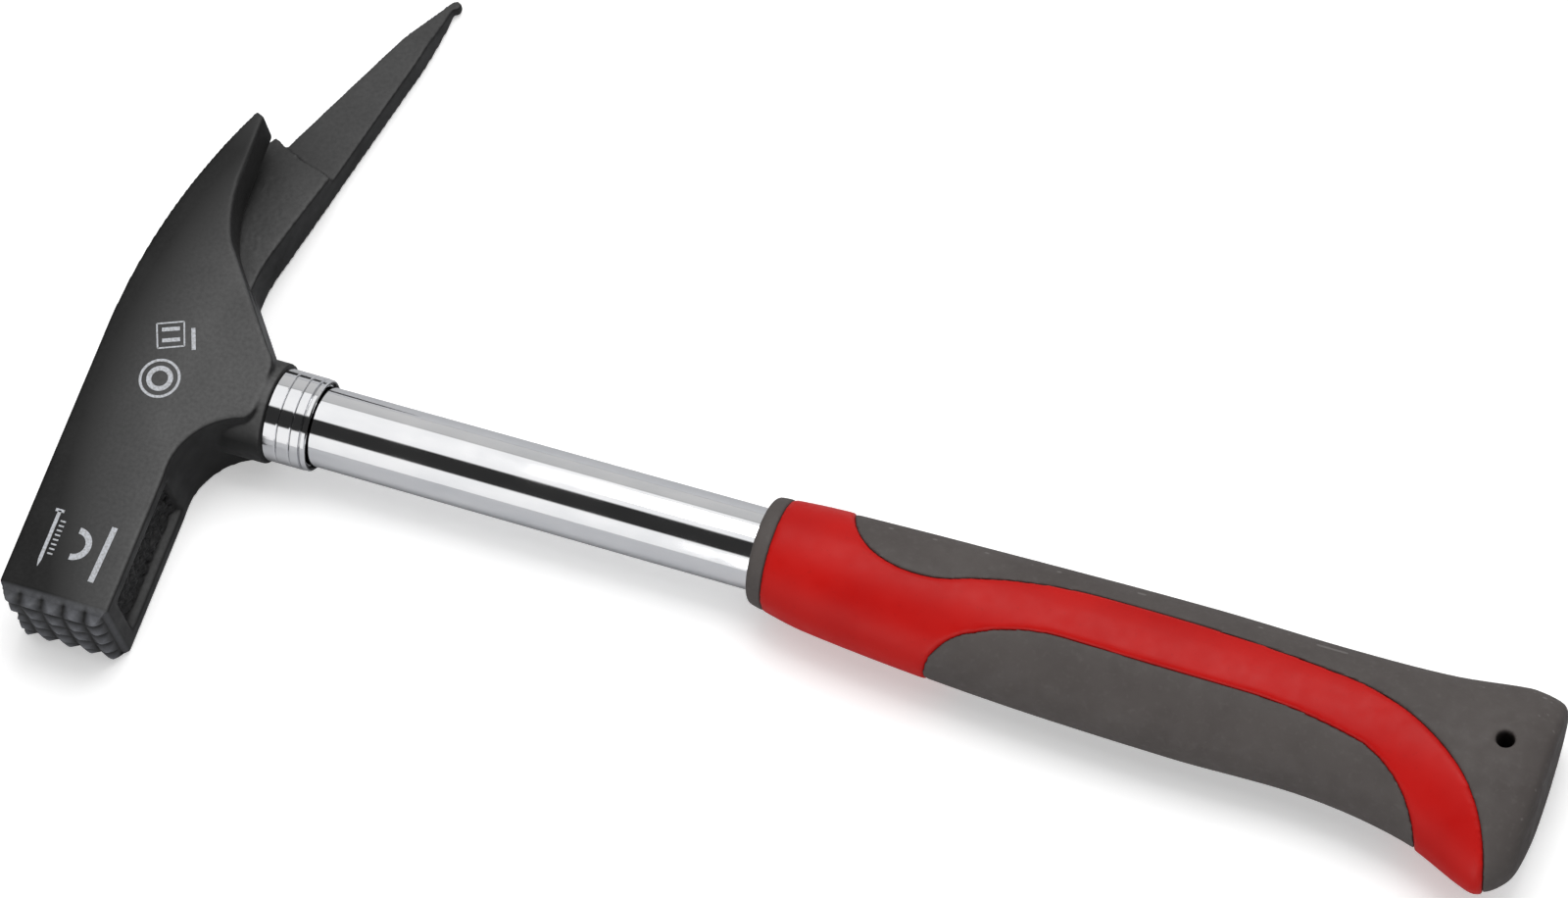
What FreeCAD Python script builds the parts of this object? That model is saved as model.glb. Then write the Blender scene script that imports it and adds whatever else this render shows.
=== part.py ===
"""Roofing hammer: forged head with striking face, nail-pulling claw and slating
spike, pressed onto a steel tube handle with a two-component grip.

The hammer lies on its side. +X runs along the handle from head to grip, +Y points
to the spike and +Z is up. Every sub-part is drawn about the handle's axis and is
then lifted by half the head's thickness, so that the head's lower cheek is z = 0.
"""
import FreeCAD
import Part
import Sketcher
import math
import os
from FreeCAD import Placement, Rotation, Vector

doc = FreeCAD.newDocument("roofing_hammer")
sheet = doc.addObject("Spreadsheet::Sheet", "sizes")

DRIVING_SIZES = {
    # head
    "head_thickness": 23.4,
    "block_width": 25.2,
    "outer_face_x": -15.7,
    "face_edge_y": -57.7,
    "face_rise": 4.2,
    "face_crown": 0.4,
    "tooth_pitch": 5,
    "tooth_depth": 1.3,
    "groove_path_radius": 60,
    "spike_tip_y": 110,
    "spike_top_z": -5.2,
    "spike_taper_start_y": 96,
    "spike_tip_thickness": 2.4,
    "step_y": 59.5,
    "claw_root_y": 21,
    "claw_root_width": 1.2,
    "claw_mouth_y": 62,
    "claw_mouth_width": 5,
    "claw_middle_z": -0.9,
    "boss_end_x": 24.6,
    "boss_diameter": 22.4,
    "pocket_rim": 3.6,
    "pocket_low_y": -54,
    "pocket_length": 29.8,
    "pocket_depth": 2,
    "nail_groove_width": 4.4,
    "nail_groove_depth": 2.6,
    "nail_groove_length": 28,
    "magnet_diameter": 6,
    "magnet_length": 7,
    "magnet_sleeve_wall": 0.8,
    "magnet_from_face": 13,
    # handle
    "tube_diameter": 17.8,
    "tube_wall": 1.5,
    "tube_end_x": 286,
    "ferrule_diameter": 20.8,
    "ferrule_end_x": 34.6,
    "ferrule_band": 3.2,
    "ferrule_groove": 0.7,
    "wedge_length": 14,
    "dowel_length": 52,
    "end_plug_length": 14,
    "end_plug_flange": 2,
    # grip
    "grip_start_x": 135.9,
    "ring_end_x": 139.8,
    "ring_flange": 2,
    "pad_thickness": 1.7,
    "start_rounding": 1.2,
    "end_rounding": 0.8,
    "round_end_x": 300,
    "hang_hole_diameter": 4,
    "hang_hole_x": 299,
    "hang_hole_y": 0.4,
}

# Where the grip is measured along the handle: distance from the eye, top edge,
# bottom edge and half thickness of its oval section.
GRIP_SECTIONS = [
    (135.9, 11.9, -11.5, 11.3),
    (141, 12.2, -13.2, 11.7),
    (150, 12.8, -14.3, 12.0),
    (162, 13.0, -15.7, 12.2),
    (180, 13.7, -17.2, 12.2),
    (205, 14.2, -18.7, 12.2),
    (232, 14.6, -19.6, 12.2),
    (258, 14.2, -19.5, 12.2),
    (272, 14.2, -20.2, 12.2),
    (284, 14.5, -23.2, 12.2),
    (294, 15.7, -27.1, 12.2),
    (300.5, 16.5, -29.3, 12.1),
    (303.5, 16.6, -28.8, 11.9),
    (306, 16.0, -26.4, 11.4),
    (308, 14.3, -20.9, 10.4),
    (309.2, 13.5, -17.1, 9.0),
]

for row, (alias, number) in enumerate(DRIVING_SIZES.items(), start=1):
    sheet.set("A%d" % row, alias)
    sheet.set("B%d" % row, str(number))
    sheet.setAlias("B%d" % row, alias)
doc.recompute()


class Measure:
    """A length that carries its number and the sheet formula that it comes from."""

    def __init__(self, number, formula):
        self.number = number
        self.formula = formula

    def combine(self, other, sign):
        other = measure(other)
        totals = {
            "+": self.number + other.number,
            "-": self.number - other.number,
            "*": self.number * other.number,
        }
        return Measure(totals[sign], "(%s %s %s)" % (self.formula, sign, other.formula))

    def __add__(self, other):
        return self.combine(other, "+")

    def __sub__(self, other):
        return self.combine(other, "-")

    def __mul__(self, other):
        return self.combine(other, "*")

    def __neg__(self):
        return self * -1


def measure(value):
    """A Measure as it is, or a plain number made into one."""
    if isinstance(value, Measure):
        return value
    return Measure(float(value), "(%.4f)" % value)


def cell(alias):
    """The driving size with this alias."""
    return Measure(float(sheet.get(alias)), "sizes." + alias)


def bind(thing, name, value):
    """Sets a property from a Measure and keeps it tied to the sheet."""
    value = measure(value)
    thing.setExpression(name, value.formula)


half_thickness = cell("head_thickness") * 0.5
tube_radius = cell("tube_diameter") * 0.5
bore_radius = tube_radius - cell("tube_wall")
handle_face_x = cell("outer_face_x") + cell("block_width")


def origin_plane(body, role):
    return [plane for plane in body.Origin.OriginFeatures if plane.Role == role][0]


def add_sketch(body, name, role, offset=0):
    """A sketch on one of the body's own origin planes, moved along its normal."""
    sketch = body.newObject("Sketcher::SketchObject", name)
    sketch.AttachmentSupport = (origin_plane(body, role), [""])
    sketch.MapMode = "FlatFace"
    bind(sketch, "AttachmentOffset.Base.z", offset)
    return sketch


def pin_point(sketch, geometry, end, point):
    """Holds one end of an edge at a point given by two Measures."""
    for kind, value in zip(("DistanceX", "DistanceY"), point):
        rule = Sketcher.Constraint(kind, -1, 1, geometry, end, value.number)
        index = sketch.addConstraint(rule)
        bind(sketch, "Constraints[%d]" % index, value)


def hold_arc_centre(sketch, geometry):
    """Fixes an arc whose ends are pinned, by the centre's place across its chord."""
    arc = sketch.Geometry[geometry]
    chord = arc.EndPoint - arc.StartPoint
    if abs(chord.x) > abs(chord.y):
        rule = Sketcher.Constraint("DistanceY", -1, 1, geometry, 3, arc.Center.y)
    else:
        rule = Sketcher.Constraint("DistanceX", -1, 1, geometry, 3, arc.Center.x)
    sketch.addConstraint(rule)


def draw_outline(sketch, corners):
    """A closed outline. A corner is (x, y), or (x, y, through) where the edge that
    follows is an arc through the point `through` and not a straight line."""
    places = [(measure(corner[0]), measure(corner[1])) for corner in corners]
    flat = [Vector(x.number, y.number, 0) for x, y in places]
    ends = []
    for index, corner in enumerate(corners):
        start = flat[index]
        stop = flat[(index + 1) % len(flat)]
        if len(corner) == 2:
            ends.append((sketch.addGeometry(Part.LineSegment(start, stop)), 1, 2))
            continue
        through = Vector(corner[2][0], corner[2][1], 0)
        if (through - start).cross(stop - through).z > 0:
            ends.append((sketch.addGeometry(Part.Arc(start, through, stop)), 1, 2))
        else:
            ends.append((sketch.addGeometry(Part.Arc(stop, through, start)), 2, 1))
    for index, corner in enumerate(corners):
        number, first, last = ends[index]
        following = ends[(index + 1) % len(ends)]
        join = Sketcher.Constraint("Coincident", number, last, following[0], following[1])
        sketch.addConstraint(join)
        pin_point(sketch, number, first, places[index])
        if len(corner) == 3:
            hold_arc_centre(sketch, number)


def draw_circle(sketch, centre, radius):
    place = (measure(centre[0]), measure(centre[1]))
    middle = Vector(place[0].number, place[1].number, 0)
    circle = sketch.addGeometry(Part.Circle(middle, Vector(0, 0, 1), radius.number))
    pin_point(sketch, circle, 3, place)
    index = sketch.addConstraint(Sketcher.Constraint("Radius", circle, radius.number))
    bind(sketch, "Constraints[%d]" % index, radius)


def add_pad(body, name, sketch, length, symmetric=False, reverse=False):
    pad = body.newObject("PartDesign::Pad", name)
    pad.Profile = sketch
    pad.Midplane = symmetric
    pad.Reversed = reverse
    bind(pad, "Length", length)
    return pad


def add_pocket(body, name, sketch, length, symmetric=False, reverse=False):
    pocket = body.newObject("PartDesign::Pocket", name)
    pocket.Profile = sketch
    pocket.Midplane = symmetric
    pocket.Reversed = reverse
    bind(pocket, "Length", length)
    return pocket


def cylinder(name, start_x, end_x, radius, y=0):
    """A Part cylinder lying along the handle between two distances from the eye."""
    rod = doc.addObject("Part::Cylinder", name)
    bind(rod, "Radius", radius)
    bind(rod, "Height", measure(end_x) - start_x)
    rod.Placement = Placement(Vector(0, y, 0), Rotation(Vector(0, 1, 0), 90))
    bind(rod, "Placement.Base.x", start_x)
    return rod


def cut(name, base, tool):
    """What is left of one object after another is taken away."""
    result = doc.addObject("Part::Cut", name)
    result.Base = base
    result.Tool = tool
    return result


def fuse(name, *shapes):
    result = doc.addObject("Part::MultiFuse", name)
    result.Shapes = list(shapes)
    result.Refine = True
    return result


def common(name, first, second):
    result = doc.addObject("Part::Common", name)
    result.Base = first
    result.Tool = second
    return result


# ---------------------------------------------------------------- forged head


def make_head():
    head = doc.addObject("PartDesign::Body", "hammer_head")
    outer = cell("outer_face_x")
    face = cell("face_edge_y")
    tip = cell("spike_tip_y")
    longest = 200

    # Striking block, waist, nose and the upper claw, seen from the side.
    side = add_sketch(head, "side_outline", "XY_Plane")
    draw_outline(side, [
        (outer, face - cell("face_rise") - 1),
        (handle_face_x, face - cell("face_rise") - 1),
        (handle_face_x, -25, (11.4, -14.6)),
        (21.2, -7.1, (22.5, -5.4)),
        (22.7, -3),
        (22.7, 5.2, (22.2, 7.4)),
        (20.4, 9.6),
        (3.4, 31.2, (0.2, 40)),
        (-0.5, 48),
        (-0.9, 61.6),
        (-2.9, 62.4, (-10.6, 41.8)),
        (outer, 2),
    ])
    add_pad(head, "side_body", side, half_thickness * 2, symmetric=True)

    # Lower half: the spike, and the thicker claw below its step.
    spike = add_sketch(head, "spike_outline", "XY_Plane", -half_thickness)
    draw_outline(spike, [
        (-14, 10),
        (14, 14.6, (8.8, 20.4)),
        (7.4, 27.5, (7.8, 32)),
        (9, 37.6),
        (20.2, 86, (22.4, 97)),
        (23.4, tip - 3, (23.4, 109.6)),
        (22.2, tip - 1.6, (9.2, 81)),
        (0.3, 62),
        (-4, 60, (-9.6, 43)),
    ])
    add_pad(head, "spike_plate", spike, half_thickness + cell("spike_top_z"))

    claw = add_sketch(head, "lower_claw_outline", "XY_Plane", -half_thickness)
    draw_outline(claw, [
        (-14, 10),
        (14, 14.6, (8.8, 20.4)),
        (7.4, 27.5, (7.8, 32)),
        (9, 37.6),
        (13.7, cell("step_y") - 1.8),
        (5.6, cell("step_y") + 0.6),
        (-2, cell("step_y") + 4.2),
        (-3.1, cell("step_y") + 2.4, (-10.3, 42)),
    ])
    add_pad(head, "lower_claw", claw, half_thickness)

    # Socket for the handle: a round boss that runs back into the head.
    boss = add_sketch(head, "boss_outline", "YZ_Plane", -2)
    draw_circle(boss, (0, 0), cell("boss_diameter") * 0.5)
    add_pad(head, "boss", boss, cell("boss_end_x") + 2)

    # V slot between the two claws, open at the top and right through along X.
    slot = add_sketch(head, "claw_slot_outline", "YZ_Plane")
    middle = cell("claw_middle_z")
    mouth = cell("claw_mouth_width") * 0.5
    root = cell("claw_root_width") * 0.5
    root_y = cell("claw_root_y")
    mouth_y = cell("claw_mouth_y")
    bottom_y = root_y.number - root.number
    draw_outline(slot, [
        (mouth_y + 20, middle + mouth),
        (mouth_y, middle + mouth),
        (root_y, root, (bottom_y, 0)),
        (root_y, -root),
        (mouth_y, middle - mouth),
        (mouth_y + 20, middle - mouth),
    ])
    add_pocket(head, "claw_slot", slot, longest, symmetric=True)

    # The spike thins to a flat tip, cut from above.
    taper = add_sketch(head, "spike_taper_outline", "YZ_Plane")
    start_y = cell("spike_taper_start_y")
    top_z = cell("spike_top_z")
    draw_outline(taper, [
        (start_y, top_z),
        (tip, cell("spike_tip_thickness") - half_thickness),
        (tip + 10, cell("spike_tip_thickness") - half_thickness),
        (tip + 10, top_z + 10),
        (start_y, top_z + 10),
    ])
    add_pocket(head, "spike_taper", taper, longest, symmetric=True)

    # Eye for the tube, right through the head.
    eye = add_sketch(head, "eye_outline", "YZ_Plane", cell("boss_end_x"))
    draw_circle(eye, (0, 0), tube_radius)
    add_pocket(head, "eye", eye, longest)

    # Recessed panel in the handle side of the striking block.
    panel = add_sketch(head, "panel_outline", "YZ_Plane", handle_face_x)
    low = cell("pocket_low_y")
    high = low + cell("pocket_length")
    side_z = half_thickness - cell("pocket_rim")
    draw_outline(panel, [(low, -side_z), (high, -side_z), (high, side_z), (low, side_z)])
    recess = add_pocket(head, "panel", panel, cell("pocket_depth"))
    recess.TaperAngle = -30

    # Nail groove in the outer face, with a stepped hole for the magnet below it.
    groove = add_sketch(head, "nail_groove_outline", "YZ_Plane", outer)
    top = face + cell("nail_groove_length")
    past_face = face - cell("face_rise") * 2
    half_groove = cell("nail_groove_width") * 0.5
    draw_outline(groove, [
        (past_face, -half_groove),
        (top, -half_groove, (top.number + half_groove.number, 0)),
        (top, half_groove),
        (past_face, half_groove),
    ])
    add_pocket(head, "nail_groove", groove, cell("nail_groove_depth"), reverse=True)
    hole = add_sketch(head, "magnet_hole_outline", "YZ_Plane", outer + cell("nail_groove_depth"))
    centre = face + cell("magnet_from_face")
    radius = cell("magnet_diameter") * 0.5 + cell("magnet_sleeve_wall")
    draw_circle(hole, (centre, 0), radius)
    add_pocket(head, "magnet_hole", hole, cell("magnet_length"), reverse=True)
    cut_striking_face(head)
    return head


def cut_striking_face(head):
    """Rounds the striking face like a pillow, then cuts V grooves into it both ways."""
    middle_x = (cell("outer_face_x") + handle_face_x) * 0.5
    edge = cell("face_edge_y")
    lowest = edge - cell("face_rise")
    corner = cell("face_rise") - cell("face_crown")

    # The pillow is two arched cuts, one across the face and one along it. Each arch
    # is a corner arc, a shallow crown and another corner arc.
    for name, role, middle, half_width in (
        ("pillow_across", "XY_Plane", middle_x, cell("block_width") * 0.5),
        ("pillow_along", "YZ_Plane", measure(0), half_thickness),
    ):
        inner = half_width - corner
        crown_y = lowest + cell("face_crown")
        bulge_y = edge.number - corner.number * math.sin(math.radians(45))
        bulge = inner.number + corner.number * math.cos(math.radians(45))
        corners = [
            (middle - half_width, edge, (middle.number - bulge, bulge_y)),
            (middle - inner, crown_y, (middle.number, lowest.number)),
            (middle + inner, crown_y, (middle.number + bulge, bulge_y)),
            (middle + half_width, edge),
            (middle + half_width + 5, edge),
            (middle + half_width + 5, lowest - 8),
            (middle - half_width - 5, lowest - 8),
            (middle - half_width - 5, edge),
        ]
        if role == "YZ_Plane":
            corners = [swap_axes(point) for point in corners]
        arch = add_sketch(head, name + "_outline", role)
        draw_outline(arch, corners)
        add_pocket(head, name, arch, 100, symmetric=True)

    # Grooves along X lie at fixed heights z, and grooves along Z at fixed x. Each V
    # is as wide as the pitch where it meets the face, which leaves pyramids.
    pitch = cell("tooth_pitch").number
    depth = cell("tooth_depth").number
    centre_y = lowest + cell("groove_path_radius")
    reach = 3
    half_width = reach * pitch / (2 * depth)
    for step in (-1.5, -0.5, 0.5, 1.5):
        side = step * pitch
        dip = lowest.number + depth + cell("face_crown").number * (side / 9) ** 2
        v_corners = [
            (dip, side), (dip - reach, side - half_width), (dip - reach, side + half_width),
        ]
        name = "groove_%d" % int(step * 2 + 5)
        across = add_sketch(head, name + "_across", "YZ_Plane", middle_x)
        draw_outline(across, v_corners)
        spin_cut(head, name + "_across_cut", across, (0, 1), centre_y)
        along = add_sketch(head, name + "_along", "XY_Plane")
        draw_outline(along, [(middle_x.number + z, y) for y, z in v_corners])
        spin_cut(head, name + "_along_cut", along, (1, 0), centre_y)


def swap_axes(corner):
    """The same corner with its two coordinates swapped, and its arc point's too."""
    if len(corner) == 2:
        return (corner[1], corner[0])
    return (corner[1], corner[0], (corner[2][1], corner[2][0]))


def spin_cut(body, name, sketch, direction, distance):
    """A groove turned 30 degrees to each side of its sketch about a construction
    line there: upright (0, 1) at x = distance, or level (1, 0) at y = distance."""
    if direction == (0, 1):
        ends = (Vector(distance.number, -80, 0), Vector(distance.number, 80, 0))
    else:
        ends = (Vector(-80, distance.number, 0), Vector(80, distance.number, 0))
    line = sketch.addGeometry(Part.LineSegment(*ends), True)
    for end, place in ((1, ends[0]), (2, ends[1])):
        pin_point(sketch, line, end, (measure(place.x), measure(place.y)))
    groove = body.newObject("PartDesign::Groove", name)
    groove.Profile = sketch
    groove.ReferenceAxis = (sketch, ["Axis0"])
    groove.Angle = 60
    groove.Midplane = True
    return groove


# ---------------------------------------------------------------- small parts


def make_magnet():
    """Magnet in its non-magnetic sleeve, flush with the bottom of the nail groove."""
    start = cell("outer_face_x") + cell("nail_groove_depth")
    end = start + cell("magnet_length")
    centre = cell("face_edge_y") + cell("magnet_from_face")
    radius = cell("magnet_diameter") * 0.5
    magnet = cylinder("nail_magnet", start, end, radius)
    outside = cylinder("sleeve_outside", start, end, radius + cell("magnet_sleeve_wall"))
    inside = cylinder("sleeve_inside", start, end, radius)
    for rod in (magnet, outside, inside):
        bind(rod, "Placement.Base.y", centre)
    return [magnet, cut("magnet_sleeve", outside, inside)]


def make_ferrule():
    """Turned collar that butts against the head: three bands and a thin lip."""
    body = doc.addObject("PartDesign::Body", "ferrule")
    profile = add_sketch(body, "ferrule_outline", "XY_Plane")
    start = cell("boss_end_x")
    end = cell("ferrule_end_x")
    outer = cell("ferrule_diameter") * 0.5
    groove = outer - cell("ferrule_groove")
    lip = end - 1.2
    corners = [(start, tube_radius), (start, outer)]
    for number in (1, 2):
        middle = start + cell("ferrule_band") * number
        corners += [(middle - 0.5, outer), (middle - 0.2, groove)]
        corners += [(middle + 0.2, groove), (middle + 0.5, outer)]
    corners += [(lip - 0.3, outer), (lip, groove)]
    corners += [(lip + 0.2, outer), (end, outer), (end, tube_radius)]
    draw_outline(profile, corners)
    spin = body.newObject("PartDesign::Revolution", "ferrule_turned")
    spin.Profile = profile
    spin.ReferenceAxis = (profile, ["H_Axis"])
    spin.Angle = 360
    return body


def make_tube_parts():
    """The steel tube and what is inside it: wedge, dowel and end plug."""
    start = cell("outer_face_x") + 0.4
    end = cell("tube_end_x")
    tube = cut(
        "shaft_tube",
        cylinder("tube_outside", start, end, tube_radius),
        cylinder("tube_inside", start, end, bore_radius),
    )
    wedge_end = start + cell("wedge_length")
    wedge = cylinder("expansion_plug", start, wedge_end, bore_radius)
    dowel = cylinder("tube_dowel", wedge_end, wedge_end + cell("dowel_length"), bore_radius)
    flange_end = end + cell("end_plug_flange")
    plug = fuse(
        "tube_end_plug",
        cylinder("plug_shank", end - cell("end_plug_length"), end + 1, bore_radius),
        cylinder("plug_flange", end, flange_end, tube_radius),
    )
    return [tube, wedge, dowel, plug]


# ---------------------------------------------------------------- grip


def make_grip_loft(name, inset):
    """The grip's oval body as a loft, drawn in by `inset` on every side."""
    drawn_in = measure(inset)
    ovals = []
    for index, (x, top, bottom, half_depth) in enumerate(GRIP_SECTIONS):
        oval = doc.addObject("Part::Ellipse", "%s_section_%d" % (name, index + 1))
        bind(oval, "MajorRadius", measure((top - bottom) / 2) - drawn_in)
        bind(oval, "MinorRadius", measure(half_depth) - drawn_in)
        turn = Rotation(Vector(0, 1, 0), Vector(0, 0, 1), Vector(1, 0, 0), "ZXY")
        oval.Placement = Placement(Vector(x, (top + bottom) / 2, 0), turn)
        if inset and index == 0:
            bind(oval, "Placement.Base.x", cell("grip_start_x") + cell("ring_flange"))
        if inset and x > cell("round_end_x").number:
            bind(oval, "Placement.Base.x", measure(x) - drawn_in)
        ovals.append(oval)
    loft = doc.addObject("Part::Loft", name)
    loft.Sections = ovals
    loft.Solid = True
    return loft


def make_region(name, corners):
    """A block through the whole grip with this side outline."""
    body = doc.addObject("PartDesign::Body", name)
    sketch = add_sketch(body, name + "_outline", "XY_Plane")
    draw_outline(sketch, corners)
    add_pad(body, name + "_block", sketch, 60, symmetric=True)
    return body


def make_grip():
    skin = make_grip_loft("grip_skin", 0)
    doc.recompute()
    rounded = doc.addObject("Part::Fillet", "grip_rounded")
    rounded.Base = skin
    edges = []
    for number, edge in enumerate(skin.Shape.Edges, start=1):
        at_start = edge.BoundBox.Center.x < cell("round_end_x").number
        size = cell("start_rounding" if at_start else "end_rounding").number
        if edge.BoundBox.XLength < 0.01 and edge.isClosed():
            edges.append((number, size, size))
    rounded.Edges = edges
    under = make_grip_loft("grip_under", cell("pad_thickness"))

    back = make_region("back_region", [
        (152.8, 25), (152.8, 15, (155.4, 7.6)),
        (163, 1.6, (171, 0.1)), (182, 2.2, (196, 5.6)),
        (214, 7, (240, 6.4)), (264, 4.3, (280, -0.4)),
        (290.5, -7.2, (299, -18)), (303.2, -36), (325, -36), (325, 25),
    ])
    palm = make_region("palm_region", [
        (177, -40), (177, -18, (180, -13.2)),
        (187, -8.6, (197, -5.4)), (208, -4.7),
        (246, -5.2, (263, -6.9)), (271.5, -8.8, (283, -17.2)), (288, -40),
    ])
    ring = doc.addObject("Part::Box", "ring_region")
    bind(ring, "Length", cell("ring_end_x") - 120)
    ring.Width = 60
    ring.Height = 60
    ring.Placement.Base = Vector(120, -30, -30)
    everything = doc.addObject("Part::Box", "grip_region")
    everything.Length = 220
    everything.Width = 100
    everything.Height = 60
    everything.Placement.Base = Vector(115, -50, -30)

    tube_room = cylinder("tube_room", 110, cell("tube_end_x"), tube_radius)
    flange_end = cell("tube_end_x") + cell("end_plug_flange")
    plug_room = cylinder("plug_room", cell("tube_end_x"), flange_end, tube_radius)
    hole = doc.addObject("Part::Cylinder", "hang_hole")
    bind(hole, "Radius", cell("hang_hole_diameter") * 0.5)
    hole.Height = 60
    hole.Placement.Base = Vector(0, 0, -30)
    bind(hole, "Placement.Base.x", cell("hang_hole_x"))
    bind(hole, "Placement.Base.y", cell("hang_hole_y"))
    rooms = fuse("grip_rooms", tube_room, plug_room, hole)
    inside = fuse("under_and_rooms", under, rooms)

    pads = []
    for name, region in (
        ("grip_back_pad", back), ("grip_palm_pad", palm), ("grip_front_ring", ring),
    ):
        pads.append(cut(name, common(name + "_blank", rounded, region), inside))
    soft = fuse("soft_regions", back, palm, ring)
    hard = cut("hard_region", everything, soft)
    shell = common("hard_skin", rounded, hard)
    core = cut("grip_core", fuse("hard_body", shell, under), rooms)
    return [core] + pads


# ---------------------------------------------------------------- put together

nodes = [make_head()]
nodes += make_magnet()
nodes.append(make_ferrule())
nodes += make_tube_parts()
nodes += make_grip()
for node in nodes:
    node.Label = node.Name
    bind(node, "Placement.Base.z", half_thickness)
doc.recompute()

for thing in doc.Objects:
    if "Invalid" in thing.State or "Error" in thing.State:
        raise RuntimeError("%s failed: %s" % (thing.Name, thing.State))
for node in nodes:
    if node.Shape.isNull() or not node.Shape.isValid():
        raise RuntimeError("%s has no valid shape" % node.Label)

os.makedirs("parts", exist_ok=True)
for node in nodes:
    node.Shape.exportStep("parts/%s.step" % node.Label)
    solids = len(node.Shape.Solids)
    print("%-18s %d solid  %9.1f mm3" % (node.Label, solids, node.Shape.Volume))
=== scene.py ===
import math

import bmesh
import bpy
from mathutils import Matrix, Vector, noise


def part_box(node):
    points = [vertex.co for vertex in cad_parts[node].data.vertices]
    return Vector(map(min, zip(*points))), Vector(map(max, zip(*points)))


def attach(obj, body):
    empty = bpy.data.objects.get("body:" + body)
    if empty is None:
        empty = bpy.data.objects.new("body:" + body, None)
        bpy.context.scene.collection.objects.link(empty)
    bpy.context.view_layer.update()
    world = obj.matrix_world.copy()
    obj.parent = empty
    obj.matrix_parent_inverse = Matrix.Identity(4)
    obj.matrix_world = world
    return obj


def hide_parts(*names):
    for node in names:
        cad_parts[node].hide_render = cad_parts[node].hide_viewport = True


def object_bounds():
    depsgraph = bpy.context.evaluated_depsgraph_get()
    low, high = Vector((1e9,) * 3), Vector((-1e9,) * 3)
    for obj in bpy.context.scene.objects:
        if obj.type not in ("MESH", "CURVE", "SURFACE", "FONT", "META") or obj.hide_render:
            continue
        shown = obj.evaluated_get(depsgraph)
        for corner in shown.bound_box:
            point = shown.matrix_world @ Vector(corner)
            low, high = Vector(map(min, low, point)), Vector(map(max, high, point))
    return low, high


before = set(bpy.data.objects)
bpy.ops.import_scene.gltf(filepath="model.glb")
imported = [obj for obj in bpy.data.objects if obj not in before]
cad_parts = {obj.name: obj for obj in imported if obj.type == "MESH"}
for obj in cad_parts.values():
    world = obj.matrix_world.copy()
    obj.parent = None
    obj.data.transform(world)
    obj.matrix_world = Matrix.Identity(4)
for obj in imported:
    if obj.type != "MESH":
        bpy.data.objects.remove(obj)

# %% [markdown]
# # A roofing hammer
#
# The object is a carpenter's roofing hammer: a forged steel head with a toothed
# striking face, a claw for pulling nails and a long spike, pressed onto a chromed
# steel tube that carries a red and grey plastic grip. The tube's axis is the
# natural line to measure from, so every piece is laid out about it in millimetres
# and is then brought into the frame in metres. +X runs along the handle, +Y
# points to the spike and +Z is up, because the hammer lies on its side.

MM = 0.001
cad_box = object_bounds()
head_low, head_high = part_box("hammer_head")
HALF_THICK = (head_high[2] - head_low[2]) / 2 / MM
OUTER_X = head_low[0] / MM
print("half the head's thickness: %.2f mm" % HALF_THICK)


# %% [markdown]
# Blender works in metres, but a maker thinks in millimetres. These helpers take a
# mesh that was modelled in millimetres about the tube's axis and make it an object
# that sits at the origin, with its place in its mesh. `settle` applies the
# modifiers, and `mount_piece` lets a piece ride on the hammer's one rigid body and
# stand in for a plain CAD node.

# %% From a bmesh to a piece
def make_piece(bm, name, material=None):
    """Turns a bmesh in millimetres into an object in the frame."""
    bmesh.ops.scale(bm, vec=(MM, MM, MM), verts=bm.verts)
    bmesh.ops.translate(bm, vec=(0, 0, HALF_THICK * MM), verts=bm.verts)
    bmesh.ops.recalc_face_normals(bm, faces=bm.faces)
    mesh = bpy.data.meshes.new(name)
    bm.to_mesh(mesh)
    bm.free()
    piece = bpy.data.objects.new(name, mesh)
    bpy.context.scene.collection.objects.link(piece)
    if material:
        mesh.materials.append(material)
    return piece


def settle(piece):
    """Applies every modifier, so that the object's own mesh is what is seen."""
    graph = bpy.context.evaluated_depsgraph_get()
    final = bpy.data.meshes.new_from_object(piece.evaluated_get(graph))
    piece.modifiers.clear()
    piece.data = final
    final.polygons.foreach_set("use_smooth", [True] * len(final.polygons))
    return piece


def mount_piece(piece, slot, *nodes):
    """The piece rides on the hammer and stands for the CAD nodes that are named."""
    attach(piece, "root")
    if nodes:
        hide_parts(*nodes)
    print("%-18s %6d faces" % (piece.name, len(piece.data.polygons)))


# %% [markdown]
# An outline is a list of corners. A corner may carry a third entry: a point that
# the next stretch passes through on its way to the following corner, as a round
# arc. Only the corners that the shape needs are written down. Straight stretches
# are edges, and an arc is one vertex spun about the circle's centre.

# %% Outlines from corners and arcs
def circle_centre(a, b, c):
    """The centre of the circle through three points."""
    first = b - a
    second = c - a
    double_area = 2 * first.cross(second)
    x = second.y * first.length_squared - first.y * second.length_squared
    y = first.x * second.length_squared - second.x * first.length_squared
    return a + Vector((x, y)) / double_area


def sweep_angle(centre, a, b, c):
    """The signed angle from a to c about the centre, on the side where b is."""
    start = math.atan2(a.y - centre.y, a.x - centre.x)
    stop = math.atan2(c.y - centre.y, c.x - centre.x)
    turn = (stop - start) % (2 * math.pi)
    if (b - a).cross(c - b) < 0:
        turn -= 2 * math.pi
    return turn


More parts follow.
